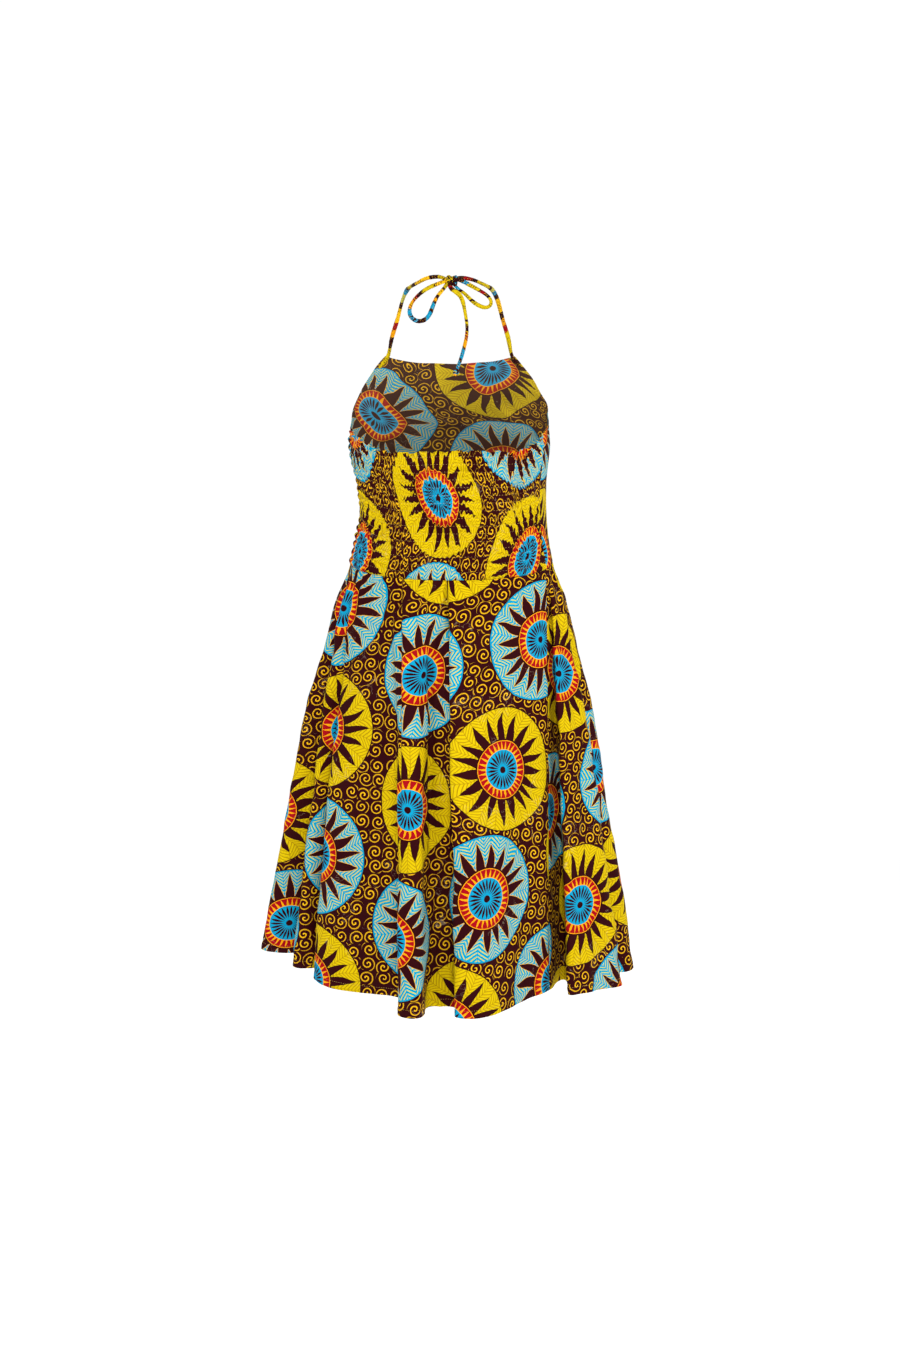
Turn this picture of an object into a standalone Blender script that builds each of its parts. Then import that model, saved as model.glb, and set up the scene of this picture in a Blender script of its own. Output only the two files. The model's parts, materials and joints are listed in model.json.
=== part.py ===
"""A halter dress with a shirred back, as it hangs when worn, held up at the nape by its tied cords.

Metres, +Z up. The front faces -Y, the wearer's left is +X and the origin is where the ties rest on the nape.
A turn is an angle round the dress in degrees: 0 at the centre back, 90 at the wearer's right side and
180 at the centre front.
"""

import math
from collections import namedtuple

import bmesh
import bpy
from mathutils import Vector

WALL = 0.0016            # cloth, as a wall
SEAM_GAP = 0.0003        # left between two pieces that are sewn together
WIDE_GAP = 0.0007        # the same where the walls of both lean together, and at the hem end of a side seam
CENTRE_Y = -0.070        # the upright line that the rings are built round
SQUARENESS = 2.2         # of the body's rings: 2 is an ellipse

WAIST_HEIGHT = -0.400
WAIST_DIP = 0.010        # how much lower the waist seam lies at the centre back
HEM_HEIGHT = -0.984
SEAM_TURNS = (-88.0, 67.0)       # the left and the right side seam, from the waist up

# Rings of the bodice: half their width, their depth to the back and to the front, and how far they sit
# towards the wearer's left.
Section = namedtuple("Section", "height half_width back_depth front_depth sway")
SECTIONS = [
    Section(-0.105, 0.124, 0.104, 0.040, 0.000),
    Section(-0.160, 0.133, 0.111, 0.068, 0.000),
    Section(-0.205, 0.137, 0.113, 0.096, 0.000),
    Section(-0.245, 0.138, 0.110, 0.117, 0.000),
    Section(-0.290, 0.131, 0.106, 0.127, -0.003),
    Section(-0.345, 0.131, 0.101, 0.118, -0.004),
    Section(-0.400, 0.142, 0.101, 0.109, -0.002),
]

# The back panel's top edge, scooped between the side seams.
TopEdge = namedtuple("TopEdge", "turn height")
BACK_TOP = [
    TopEdge(-88, -0.2120), TopEdge(-62, -0.2215), TopEdge(-36, -0.2345), TopEdge(0, -0.2310),
    TopEdge(40, -0.2330), TopEdge(56, -0.2260), TopEdge(67, -0.2150),
]

# The front panel's armhole edges, from under the arm to the corner where the tie is sewn on.
Armhole = namedtuple("Armhole", "height right_turn left_turn")
ARMHOLES = [
    Armhole(-0.2150, 67, 272), Armhole(-0.2020, 82, 267), Armhole(-0.1850, 96, 259),
    Armhole(-0.1680, 108, 250), Armhole(-0.1500, 118, 241), Armhole(-0.1300, 128, 232),
    Armhole(-0.1150, 136, 224),
]
NECK_DIP = 0.012         # of the front's top edge at its centre
BUST_HEIGHT = -0.285
BUST_TURN = 36.0         # from the centre front to each side
BUST_FULLNESS = 0.013
BUST_RADIUS = 0.062

SHIRRED_BANDS = 8        # between rows of elastic
SHIRRED_PUCKERS = 21     # along each band
PUCKER_RISE = 0.0024
FRILL_HEIGHT = 0.007     # the heading above the top row of elastic

# How far the skirt has spread from the waist towards the hem, by how far down it is.
Spread = namedtuple("Spread", "drop share")
FLARE = [
    Spread(0.000, 0.000), Spread(0.012, 0.002), Spread(0.045, 0.065), Spread(0.094, 0.160),
    Spread(0.205, 0.285), Spread(0.317, 0.430), Spread(0.430, 0.545), Spread(0.544, 0.630),
    Spread(0.696, 0.757), Spread(0.851, 0.885), Spread(1.000, 1.000),
]
# The folds at the hem, in turn order: the valley before the fold, its crest, how square its two flanks stand
# (1 is straight out), how much lower its hem hangs, and where the crest starts at the waist.
Fold = namedtuple("Fold", "valley_turn valley_reach turn reach left_flank right_flank drop waist_turn")
FOLDS = [
    Fold(-104, 0.222, -90, 0.274, 0.50, 1.20, -0.014, -81),
    Fold(-83, 0.208, -73.5, 0.233, 0.80, 1.30, -0.008, -74),
    Fold(-68, 0.184, -57.5, 0.223, 1.40, 0.00, -0.003, -61),
    Fold(-22, 0.180, -13, 0.246, 1.60, 1.45, 0.009, -24),
    Fold(-6, 0.190, -4, 0.192, 0.00, 0.00, 0.009, -9),
    Fold(-2, 0.190, 7.5, 0.239, 1.80, 0.00, 0.010, 2),
    Fold(36, 0.194, 39, 0.194, 0.00, 0.00, 0.006, 48),
    Fold(61, 0.181, 49, 0.231, -2.00, 0.00, 0.005, 74),
    Fold(58, 0.240, 69, 0.260, 0.00, 1.10, 0.012, 82),
    Fold(77, 0.228, 90, 0.267, 0.60, 0.60, 0.014, 94),
    Fold(101, 0.228, 113, 0.262, 0.60, 0.80, 0.006, 113),
    Fold(124, 0.222, 137, 0.264, 0.80, 0.40, 0.002, 136),
    Fold(150, 0.210, 163, 0.260, 0.50, 0.90, 0.000, 160),
    Fold(174, 0.206, 187, 0.264, 0.90, 0.70, 0.000, 186),
    Fold(199, 0.212, 212, 0.258, 0.70, 0.50, -0.002, 211),
    Fold(224, 0.210, 238, 0.268, 0.80, 0.80, -0.008, 238),
]
SEAM_FOLDS = ((0, 0.050), (7, -0.045))  # the left and the right side seam reach the hem this far from the
                                        # valleys before these folds, where the cloth runs straight
FOLD_STEPS = 20          # samples from a valley to its crest, before they are evened out

SKIRT_COLUMNS = (74, 88)         # of the back and the front
SKIRT_ROWS = (1.0, 0.84, 0.69, 0.55, 0.42, 0.30, 0.19, 0.10, 0.045, 0.012, 0.0)  # shares of the way down
FRONT_COLUMNS, FRONT_ROWS = 36, 7

TIE_WIDTH = 0.0056
TIE_INSET = 0.028        # share of the front's top edge from its corner to a tie's middle
TIE_LIFT = 0.0014        # of a tie's slanted end over that edge
TIE_SPACING = 2.2        # a cord's points, in diameters
KNOT_CENTRE = (0.0000, 0.0140, -0.0040)
KNOT_HALF_SIZE = (0.0120, 0.0072, 0.0078)
KNOT_LEAD = 0.0040       # how far a cord runs straight out of the knot
TAIL_KNOT_SIZE = 0.0094
# Each cord's route, by hand: the way it leaves the knot, the points where it turns, and the way it comes back.
TIE_LEFT_OUT, TIE_LEFT = (0.95, -0.25, 0.30), [
    (0.0310, 0.0060, -0.0010), (0.0430, -0.0040, -0.0075), (0.0520, -0.0240, -0.0130),
    (0.0590, -0.0530, -0.0200), (0.0660, -0.0800, -0.0360), (0.0730, -0.0960, -0.0620),
    (0.0812, -0.1008, -0.0880),
]
TIE_RIGHT_OUT, TIE_RIGHT = (-0.95, -0.25, 0.20), [
    (-0.0300, 0.0060, -0.0030), (-0.0420, -0.0040, -0.0085), (-0.0515, -0.0240, -0.0140),
    (-0.0590, -0.0530, -0.0210), (-0.0665, -0.0800, -0.0370), (-0.0735, -0.0960, -0.0630),
    (-0.0812, -0.1008, -0.0880),
]
LOOP_LEFT_OUT, LOOP_LEFT, LOOP_LEFT_BACK = (1.00, 0.45, -0.15), [
    (0.0300, 0.0190, -0.0140), (0.0430, 0.0205, -0.0235), (0.0525, 0.0225, -0.0350),
    (0.0550, 0.0250, -0.0470), (0.0490, 0.0270, -0.0560), (0.0385, 0.0270, -0.0580),
    (0.0290, 0.0260, -0.0520), (0.0235, 0.0235, -0.0390), (0.0175, 0.0210, -0.0250),
], (0.75, 0.25, -0.80)
LOOP_RIGHT_OUT, LOOP_RIGHT, LOOP_RIGHT_BACK = (-0.95, 0.35, -0.85), [
    (-0.0260, 0.0195, -0.0200), (-0.0320, 0.0205, -0.0290), (-0.0385, 0.0220, -0.0355),
    (-0.0470, 0.0225, -0.0370), (-0.0540, 0.0220, -0.0325), (-0.0505, 0.0210, -0.0255),
    (-0.0400, 0.0195, -0.0190), (-0.0300, 0.0185, -0.0115),
], (-1.00, 0.45, 0.15)
TAIL_OUT, TAIL = (0.02, 0.55, -1.00), [
    (-0.0130, 0.0235, -0.0220), (-0.0175, 0.0245, -0.0320), (-0.0205, 0.0265, -0.0470),
    (-0.0230, 0.0300, -0.0640), (-0.0220, 0.0325, -0.0790), (-0.0190, 0.0350, -0.0920),
    (-0.0150, 0.0375, -0.1060), (-0.0095, 0.0410, -0.1205),
]

COLOURS = {               # base colour and roughness of each piece's cloth
    "bodice_back": ((0.30, 0.16, 0.05), 0.75), "bodice_front": ((0.34, 0.19, 0.05), 0.72),
    "skirt_back": ((0.32, 0.17, 0.05), 0.72), "skirt_front": ((0.36, 0.20, 0.05), 0.72),
    "tie": ((0.45, 0.26, 0.04), 0.70),
}


def table_value(rows, key, column, at):
    """A smooth curve through one column of a table whose key column rises or falls steadily."""
    keys = [getattr(row, key) for row in rows]
    values = [getattr(row, column) for row in rows]
    if keys[0] > keys[-1]:
        keys, values = keys[::-1], values[::-1]
    at = min(max(at, keys[0]), keys[-1])
    step = max(i for i in range(len(keys) - 1) if keys[i] <= at)

    def slope(i):
        before, after = max(i - 1, 0), min(i + 1, len(keys) - 1)
        return (values[after] - values[before]) / (keys[after] - keys[before])

    width = keys[step + 1] - keys[step]
    t = (at - keys[step]) / width
    return (
        values[step] * (1 + 2 * t) * (1 - t) ** 2
        + values[step + 1] * t * t * (3 - 2 * t)
        + width * (slope(step) * t * (1 - t) ** 2 - slope(step + 1) * t * t * (1 - t))
    )


def ring_point(turn, height, half_width, back_depth, front_depth, sway):
    side, along = math.sin(math.radians(turn)), math.cos(math.radians(turn))
    power = 2 / SQUARENESS
    x = sway - half_width * math.copysign(abs(side) ** power, side)
    depth = back_depth if along > 0 else front_depth
    y = CENTRE_Y + depth * math.copysign(abs(along) ** power, along)
    return Vector((x, y, height))


def body_point(turn, height):
    """A point of the bodice's ring at one height, with the fullness of the bust."""
    sizes = [table_value(SECTIONS, "height", name, height) for name in Section._fields[1:]]
    point = ring_point(turn, height, *sizes)
    for side in (-1, 1):
        away = (turn % 360 - 180 - side * BUST_TURN) * math.radians(1) * sizes[0]
        distance = math.hypot(away, height - BUST_HEIGHT) / BUST_RADIUS
        if distance < 1:
            point.y -= BUST_FULLNESS * (1 - distance**2) ** 2
    return point


def waist_height(turn):
    return WAIST_HEIGHT - WAIST_DIP * max(math.cos(math.radians(turn)), 0)


def mix(low, high, share):
    return low + (high - low) * share


# The skirt's hem is one line round the dress. A place on it is its length along the cloth.
Sample = namedtuple("Sample", "length point")


def flank(valley, crest, steps, squareness):
    """(turn, reach) from a valley up to a crest, either way round, without the crest itself."""
    for step in range(steps):
        q = step / steps
        eased = q + squareness * math.sin(2 * math.pi * q) / (2 * math.pi)
        yield mix(valley[0], crest[0], eased), mix(valley[1], crest[1], (1 - math.cos(math.pi * q)) / 2)


def hem_line():
    """The samples of the hem once round, with the places of the folds' valleys and crests on it."""
    ring = []
    for fold, following in zip(FOLDS, FOLDS[1:] + FOLDS[:1]):
        crest = (fold.turn, fold.reach)
        next_turn = following.valley_turn + (360 if following is FOLDS[0] else 0)
        ring.extend(flank((fold.valley_turn, fold.valley_reach), crest, FOLD_STEPS, fold.left_flank))
        ring.append(crest)
        down = flank((next_turn, following.valley_reach), crest, FOLD_STEPS, fold.right_flank)
        ring.extend(reversed(list(down)[1:]))
    ring.append(ring[0])
    samples, length = [], 0.0
    for turn, reach in ring:
        angle = math.radians(turn)
        point = Vector((-math.sin(angle) * reach, CENTRE_Y + math.cos(angle) * reach, 0))
        length += (point - samples[-1].point).length if samples else 0
        samples.append(Sample(length, point))
    places = [sample.length for sample in samples]
    return samples, places[:-1 : 2 * FOLD_STEPS], places[FOLD_STEPS :: 2 * FOLD_STEPS]


HEM_SAMPLES, VALLEYS, CRESTS = hem_line()
HEM_LENGTH = HEM_SAMPLES[-1].length


def read_along(pairs, at):
    """Straight runs between (place, value) pairs."""
    for (before, low), (after, high) in zip(pairs, pairs[1:]):
        if at <= after:
            return mix(low, high, (at - before) / (after - before))
    return pairs[-1][1]


def once_round(pairs, step):
    """The pairs with the last one before them and the first ones after them, for a line that closes."""
    before = [(place - HEM_LENGTH, value - step) for place, value in pairs[-2:]]
    after = [(place + HEM_LENGTH, value + step) for place, value in pairs[:2]]
    return before + pairs + after


LEFT_PLACE, RIGHT_PLACE = [VALLEYS[index] + offset for index, offset in SEAM_FOLDS]
WAIST_TURNS = once_round(
    sorted(
        [(place, fold.waist_turn) for place, fold in zip(CRESTS, FOLDS)]
        + [(LEFT_PLACE, SEAM_TURNS[0]), (RIGHT_PLACE, SEAM_TURNS[1])]
    ),
    360,
)
DROPS = once_round([(place, fold.drop) for place, fold in zip(CRESTS, FOLDS)], 0)


def skirt_point(place, down):
    """A point of the skirt, by its place along the hem and its share of the way down."""
    turn = read_along(WAIST_TURNS, place)
    waist = body_point(turn, waist_height(turn))
    hem = read_along([(sample.length, sample.point) for sample in HEM_SAMPLES], place % HEM_LENGTH).copy()
    share = table_value(FLARE, "drop", "share", down)
    point = waist.lerp(hem, share)
    point.z = mix(waist.z - WIDE_GAP / 2, HEM_HEIGHT - read_along(DROPS, place), down)
    return point


def skirt_panel(start, end):
    """The function that places one skirt panel's points, by its shares across and down."""
    half_gap = WIDE_GAP / 2

    def place(across, down):
        place_along = mix(start + half_gap, end - half_gap, across)
        return skirt_point(place_along, down)

    return place


def seam_gap_turn():
    return math.degrees(WIDE_GAP / 2 / SECTIONS[-1].half_width)


def back_height(turn, up):
    """Up the back panel: 0 is the waist seam, 1 the top row of elastic and 2 the top edge."""
    top = table_value(BACK_TOP, "turn", "height", turn)
    low = waist_height(turn) + WIDE_GAP / 2
    return top if up > 1 else mix(low, top - FRILL_HEIGHT, up)


def place_bodice_back(across, up):
    left, right = SEAM_TURNS
    turn = mix(left + seam_gap_turn(), right - seam_gap_turn(), across)
    return body_point(turn, back_height(turn, up))


def pucker(across, up):
    """How full the shirring stands out here, from 0 on a row of elastic to 1."""
    if up > 1:
        return 0.5 + 0.5 * math.cos(2 * math.pi * SHIRRED_PUCKERS * across)
    between_rows = math.sin(math.pi * SHIRRED_BANDS * up) ** 2
    return between_rows * (0.25 + 0.75 * math.sin(math.pi * SHIRRED_PUCKERS * across) ** 2)


def place_bodice_front(across, up):
    """Up the front panel: from the waist seam at 0 to under the arms at 1, then one step for each armhole row."""
    armhole = ARMHOLES[max(int(round(up)) - 1, 0)]
    gap = seam_gap_turn()
    turn = mix(armhole.right_turn + gap, armhole.left_turn - gap, across)
    height = mix(waist_height(turn) + WIDE_GAP / 2, armhole.height, min(up, 1))
    climbed = (armhole.height - ARMHOLES[0].height) / (ARMHOLES[-1].height - ARMHOLES[0].height)
    return body_point(turn, height - NECK_DIP * climbed * 4 * across * (1 - across))


def material(name):
    colour, roughness = COLOURS[name]
    made = bpy.data.materials.get(name) or bpy.data.materials.new(name)
    made.use_nodes = True
    shader = made.node_tree.nodes["Principled BSDF"]
    shader.inputs["Base Color"].default_value = (*colour, 1)
    shader.inputs["Roughness"].default_value = roughness
    return made


def add(name, data, colour):
    piece = bpy.data.objects.new(name, data)
    piece.data.materials.append(material(colour))
    bpy.data.collections["dress"].objects.link(piece)
    return piece


def cloth(name, columns, rows, place, raised=None):
    """A panel of cloth on a grid. Its inner side is plain, and its outer side may be raised from 0 to 1."""
    grid = bmesh.new()
    bmesh.ops.create_grid(grid, x_segments=columns, y_segments=len(rows) - 1, size=0.5)
    fullness = []
    for vert in grid.verts:
        across, up = vert.co.x + 0.5, rows[round((vert.co.y + 0.5) * (len(rows) - 1))]
        vert.co = place(across, up)
        fullness.append(raised(across, up) if raised else 0)
    mesh = bpy.data.meshes.new(name)
    grid.to_mesh(mesh)
    grid.free()
    mesh.shade_smooth()
    piece = add(name, mesh, name)
    wall = piece.modifiers.new("wall", "SOLIDIFY")
    wall.offset = 1
    wall.thickness = WALL
    if raised:
        most = WALL + PUCKER_RISE
        wall.thickness = most
        wall.vertex_group = piece.vertex_groups.new(name="fullness").name
        for index, share in enumerate(fullness):
            piece.vertex_groups[0].add([index], (WALL + PUCKER_RISE * share) / most, "REPLACE")
    return piece


def smooth_route(points, spacing):
    """Points an even distance apart on a smooth curve through the given ones."""
    points = [Vector(point) for point in points]
    padded = [2 * points[0] - points[1], *points, 2 * points[-1] - points[-2]]
    fine = []
    for before, here, there, after in zip(padded, padded[1:], padded[2:], padded[3:]):
        for step in range(12):
            t = step / 12
            fine.append(
                here
                + (there - before) * (t / 2)
                + (2 * before - 5 * here + 4 * there - after) * (t * t / 2)
                + (3 * here - before - 3 * there + after) * (t**3 / 2)
            )
    fine.append(points[-1])
    lengths = [0.0]
    for here, there in zip(fine, fine[1:]):
        lengths.append(lengths[-1] + (there - here).length)
    count = max(round(lengths[-1] / spacing), 3)
    return [read_along(list(zip(lengths, fine)), lengths[-1] * i / count) for i in range(count + 1)]


def cord(name, points):
    curve = bpy.data.curves.new(name, "CURVE")
    curve.dimensions = "3D"
    curve.bevel_depth = TIE_WIDTH / 2
    curve.bevel_resolution = 2
    curve.use_fill_caps = True
    line = curve.splines.new("POLY")
    route = [points[0], *smooth_route(points[1:-1], TIE_SPACING * TIE_WIDTH), points[-1]]
    line.points.add(len(route) - 1)
    for target, point in zip(line.points, route):
        target.co = (*point, 1)
    return add(name, curve, "tie")


def off_knot(direction):
    """Where a cord that leaves the knot this way starts, and where its straight lead ends."""
    direction, half = Vector(direction), Vector(KNOT_HALF_SIZE)
    scaled = Vector([way / size for way, size in zip(direction, half)])
    touch = direction / scaled.length
    away = Vector([way / size**2 for way, size in zip(touch, half)]).normalized()
    start = Vector(KNOT_CENTRE) + touch + away * SEAM_GAP
    return [start, start + away * KNOT_LEAD]


def lump(name, centre, half_size):
    """A soft round lump, from a coarse cage."""
    cage = bmesh.new()
    bmesh.ops.create_icosphere(cage, subdivisions=2, radius=1)
    mesh = bpy.data.meshes.new(name)
    cage.to_mesh(mesh)
    cage.free()
    for vert in mesh.vertices:
        vert.co = Vector(centre) + Vector([co * half for co, half in zip(vert.co, half_size)])
    mesh.shade_smooth()
    return add(name, mesh, "tie")


def corner(across):
    """Just above the front panel's top edge, where a tie is sewn on."""
    return [place_bodice_front(across, len(ARMHOLES)) + Vector((0, -WALL / 2, TIE_LIFT))]


def build():
    for old in list(bpy.data.objects):
        bpy.data.objects.remove(old)
    bpy.context.scene.collection.children.link(bpy.data.collections.new("dress"))

    back_rows = [i / (2 * SHIRRED_BANDS) for i in range(2 * SHIRRED_BANDS + 1)] + [2]
    cloth("bodice_back", 2 * SHIRRED_PUCKERS, back_rows, place_bodice_back, pucker)
    front_rows = [i / FRONT_ROWS for i in range(FRONT_ROWS + 1)] + list(range(2, len(ARMHOLES) + 1))
    cloth("bodice_front", FRONT_COLUMNS, front_rows, place_bodice_front)
    cloth("skirt_back", SKIRT_COLUMNS[0], SKIRT_ROWS, skirt_panel(LEFT_PLACE, RIGHT_PLACE))
    cloth("skirt_front", SKIRT_COLUMNS[1], SKIRT_ROWS, skirt_panel(RIGHT_PLACE, LEFT_PLACE + HEM_LENGTH))

    cord("tie_left", off_knot(TIE_LEFT_OUT) + TIE_LEFT + corner(1 - TIE_INSET))
    cord("tie_right", off_knot(TIE_RIGHT_OUT) + TIE_RIGHT + corner(TIE_INSET))
    lump("bow_knot", KNOT_CENTRE, KNOT_HALF_SIZE)
    cord("bow_loop_left", off_knot(LOOP_LEFT_OUT) + LOOP_LEFT + off_knot(LOOP_LEFT_BACK)[::-1])
    cord("bow_loop_right", off_knot(LOOP_RIGHT_OUT) + LOOP_RIGHT + off_knot(LOOP_RIGHT_BACK)[::-1])
    cord("bow_tail", off_knot(TAIL_OUT) + TAIL)
    end, before = Vector(TAIL[-1]), Vector(TAIL[-2])
    away = (end - before).normalized()
    half = TAIL_KNOT_SIZE / 2
    lump("tail_knot", end + away * (half + SEAM_GAP), (half, half, half))


if __name__ == "__main__":
    build()
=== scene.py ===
# A halter dress in printed cotton, as it hangs when worn. Metres, +Z up, the front faces -Y and the
# wearer's left is +X. A turn is an angle round the dress: 0 centre back, 90 the wearer's right side.
import json
import math

import bpy
import numpy as np
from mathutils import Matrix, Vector

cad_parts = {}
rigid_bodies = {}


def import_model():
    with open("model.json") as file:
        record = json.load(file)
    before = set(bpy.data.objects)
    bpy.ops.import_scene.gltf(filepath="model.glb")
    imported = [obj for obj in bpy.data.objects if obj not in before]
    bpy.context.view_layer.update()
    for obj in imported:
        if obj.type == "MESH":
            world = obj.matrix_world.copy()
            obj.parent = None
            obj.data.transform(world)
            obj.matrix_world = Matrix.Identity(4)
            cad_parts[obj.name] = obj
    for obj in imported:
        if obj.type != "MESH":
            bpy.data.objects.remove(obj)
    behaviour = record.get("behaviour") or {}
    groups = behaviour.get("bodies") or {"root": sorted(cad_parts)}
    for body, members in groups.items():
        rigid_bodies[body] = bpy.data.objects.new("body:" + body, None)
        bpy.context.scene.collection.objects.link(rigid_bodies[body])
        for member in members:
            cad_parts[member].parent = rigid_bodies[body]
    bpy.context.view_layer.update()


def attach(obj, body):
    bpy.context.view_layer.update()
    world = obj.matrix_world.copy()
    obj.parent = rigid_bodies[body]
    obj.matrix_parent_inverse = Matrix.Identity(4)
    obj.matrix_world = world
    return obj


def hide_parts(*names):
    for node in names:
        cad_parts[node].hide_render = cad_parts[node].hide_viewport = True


for old in list(bpy.data.objects):
    bpy.data.objects.remove(old)
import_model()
print("packed dress loaded")

fullTurn = 2 * math.pi
view = {"distance": 3.35, "height": 0.15, "tiltDegrees": 11.786, "lensMm": 43.58, "sensorMm": 24.0}


def addToScene(name, data):
    thing = bpy.data.objects.new(name, data)
    bpy.context.scene.collection.objects.link(thing)
    return thing


def placeCamera():
    data = bpy.data.cameras.new("camera")
    data.sensor_fit = "VERTICAL"
    data.sensor_height, data.lens = view["sensorMm"], view["lensMm"]
    camera = addToScene("camera", data)
    camera.location = (0, view["distance"], view["height"])
    camera.rotation_euler = (math.radians(90 - view["tiltDegrees"]), 0, math.pi)
    bpy.context.scene.camera = camera


placeCamera()


# curves and grids that every piece uses


def mix(low, high, share):
    return low + (high - low) * share


def bell(distance, reach):
    return np.exp(-((distance / reach) ** 2))


def stepUp(distance, reach):
    # a soft step from 0 to 1 where the distance is 0
    return 1 / (1 + np.exp(-distance / reach))


def fade(distance, reach):
    return np.clip(distance / reach, 0, 1)


def toSides(width):
    return np.minimum(width, width[:, -1:] - width)


def smoothCurve(keys, values, at):
    keys, values = np.array(keys, float), np.array(values, float)
    order = np.argsort(keys)
    keys, values = keys[order], values[order]
    last = len(keys) - 1
    before, after = np.maximum(np.arange(last + 1) - 1, 0), np.minimum(np.arange(last + 1) + 1, last)
    slopes = (values[after] - values[before]) / (keys[after] - keys[before])
    at = np.clip(at, keys[0], keys[-1])
    step = np.clip(np.searchsorted(keys, at, side="right") - 1, 0, last - 1)
    width = keys[step + 1] - keys[step]
    t = (at - keys[step]) / width
    return (
        values[step] * (1 + 2 * t) * (1 - t) ** 2
        + values[step + 1] * t * t * (3 - 2 * t)
        + width * (slopes[step] * t * (1 - t) ** 2 - slopes[step + 1] * t * t * (1 - t))
    )


def unit(vectors):
    return vectors / np.maximum(np.linalg.norm(vectors, axis=-1, keepdims=True), 1e-12)


def gridNormals(points):
    normals = unit(np.cross(np.gradient(points, axis=1), np.gradient(points, axis=0)))
    outwards = points * (1, 1, 0) - (0, bodice["centreY"], 0)
    return normals * np.sign((normals * outwards).sum(-1).mean())


def lengthsAlong(points, axis):
    steps = np.linalg.norm(np.diff(points, axis=axis), axis=-1)
    start = np.zeros_like(np.take(steps, [0], axis=axis))
    return np.concatenate((start, np.cumsum(steps, axis=axis)), axis=axis)


def wander(u, v, size, seed, count=9):
    # slow chance waves, about one size long
    dice = np.random.default_rng(seed)
    total = 0
    for direction, stretch, phase in zip(*dice.uniform(0, 1, (3, count))):
        angle, reach = direction * fullTurn, fullTurn / (size * (0.7 + 0.9 * stretch))
        total = total + np.sin((u * math.cos(angle) + v * math.sin(angle)) * reach + phase * 7)
    return total / math.sqrt(count)


def creased(u, v, creases):
    # each crease in mm: place across, place down, half length, half width, height; then degrees of tilt
    total = 0
    for *sizes, tilt in creases:
        across, down, halfLength, halfWidth, height = (size / 1000 for size in sizes)
        c, s = math.cos(math.radians(tilt)), math.sin(math.radians(tilt))
        along = ((u - across) * s + (v - down) * c) / halfLength
        side = ((u - across) * c - (v - down) * s) / halfWidth
        ridge = bell(side, 1) - 0.45 * bell(side - 1.9, 1) - 0.3 * bell(side + 2.1, 1)
        total = total + height * ridge * np.clip(1 - along**2, 0, 1) ** 1.5
    return total


def seamRoll(distance, depth=0.0008, reach=0.0022):
    # cloth turning in towards a seam
    return -depth * bell(distance, reach)


def closeSpaced(count, edge=0.012, share=0.0012):
    # shares from 0 to 1, closer together at both ends
    inner = np.linspace(edge, 1 - edge, count - 8)
    ends = np.array((0, share, 2.2 * share, 5 * share))
    return np.concatenate((ends, inner, 1 - ends[::-1]))


def layPrint(mesh, places):
    mesh.uv_layers.new(name="print").data.foreach_set("uv", np.array(places).ravel())


def addPiece(name, mesh, materials, node=None):
    # materials: the finishes it takes, node: the imported solid it stands for
    mesh.shade_smooth()
    for material in materials:
        mesh.materials.append(material)
    piece = addToScene(name, mesh)
    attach(piece, "root")
    if node:
        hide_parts(node)
    return piece


def clothPiece(name, points, printPlace, materials, node=None, thickness=0.0006):
    rows, columns = points.shape[:2]
    index = np.arange(rows * columns).reshape(rows, columns)
    quads = np.stack((index[:-1, :-1], index[:-1, 1:], index[1:, 1:], index[1:, :-1]), -1).reshape(-1, 4)
    faceNormal = np.cross(points[1, 1] - points[0, 1], points[0, 2] - points[0, 1])
    if np.dot(faceNormal, gridNormals(points)[0, 1]) > 0:
        quads = quads[:, ::-1]
    mesh = bpy.data.meshes.new(name)
    mesh.from_pydata(points.reshape(-1, 3), [], quads)
    layPrint(mesh, printPlace.reshape(-1, 2)[quads.reshape(-1)])
    piece = addPiece(name, mesh, materials, node)
    shell = piece.modifiers.new("cloth thickness", "SOLIDIFY")
    shell.thickness, shell.offset = thickness, 0
    shell.material_offset = len(materials) - 1
    return piece


# material nodes: plain arithmetic on a node's output adds the nodes for it


class nodeValue:
    def __init__(self, socket):
        self.socket = socket

    def parts(self):
        return [nodeValue(socket) for socket in self.socket.node.outputs]


def feed(socket, value):
    if isinstance(value, nodeValue):
        socket.id_data.links.new(value.socket, socket)
    elif value is not None:
        socket.default_value = (*value, 1) if socket.type == "RGBA" else value


def put(tree, kind, *inputs, out=0, **settings):
    node = tree.nodes.new("ShaderNode" + kind)
    for name, value in settings.items():
        setattr(node, name, value)
    for socket, value in zip(node.inputs, inputs):
        feed(socket, value)
    return nodeValue(node.outputs[out])


def treeOf(*values):
    return next(value.socket.id_data for value in values if isinstance(value, nodeValue))


def nodeMath(operation):
    return lambda *values: put(treeOf(*values), "Math", *values, operation=operation)


def swapped(act):
    return lambda value, other: act(other, value)


for sign, operation in (("add", "ADD"), ("sub", "SUBTRACT"), ("mul", "MULTIPLY"), ("truediv", "DIVIDE")):
    setattr(nodeValue, "__%s__" % sign, nodeMath(operation))
    setattr(nodeValue, "__r%s__" % sign, swapped(nodeMath(operation)))
nodeValue.__lt__, nodeValue.__gt__ = nodeMath("LESS_THAN"), nodeMath("GREATER_THAN")
nodeValue.__pow__ = nodeMath("POWER")
floor, fraction, absolute, squareRoot = map(nodeMath, ("FLOOR", "FRACT", "ABSOLUTE", "SQRT"))
sine, arcTangent, smaller, larger = map(nodeMath, ("SINE", "ARCTAN2", "MINIMUM", "MAXIMUM"))


def blendColour(share, first, second):
    others = [None] * 5                           # sockets for values that aren't colours
    return put(treeOf(share, first, second), "Mix", share, *others, first, second, out=2, data_type="RGBA")


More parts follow.
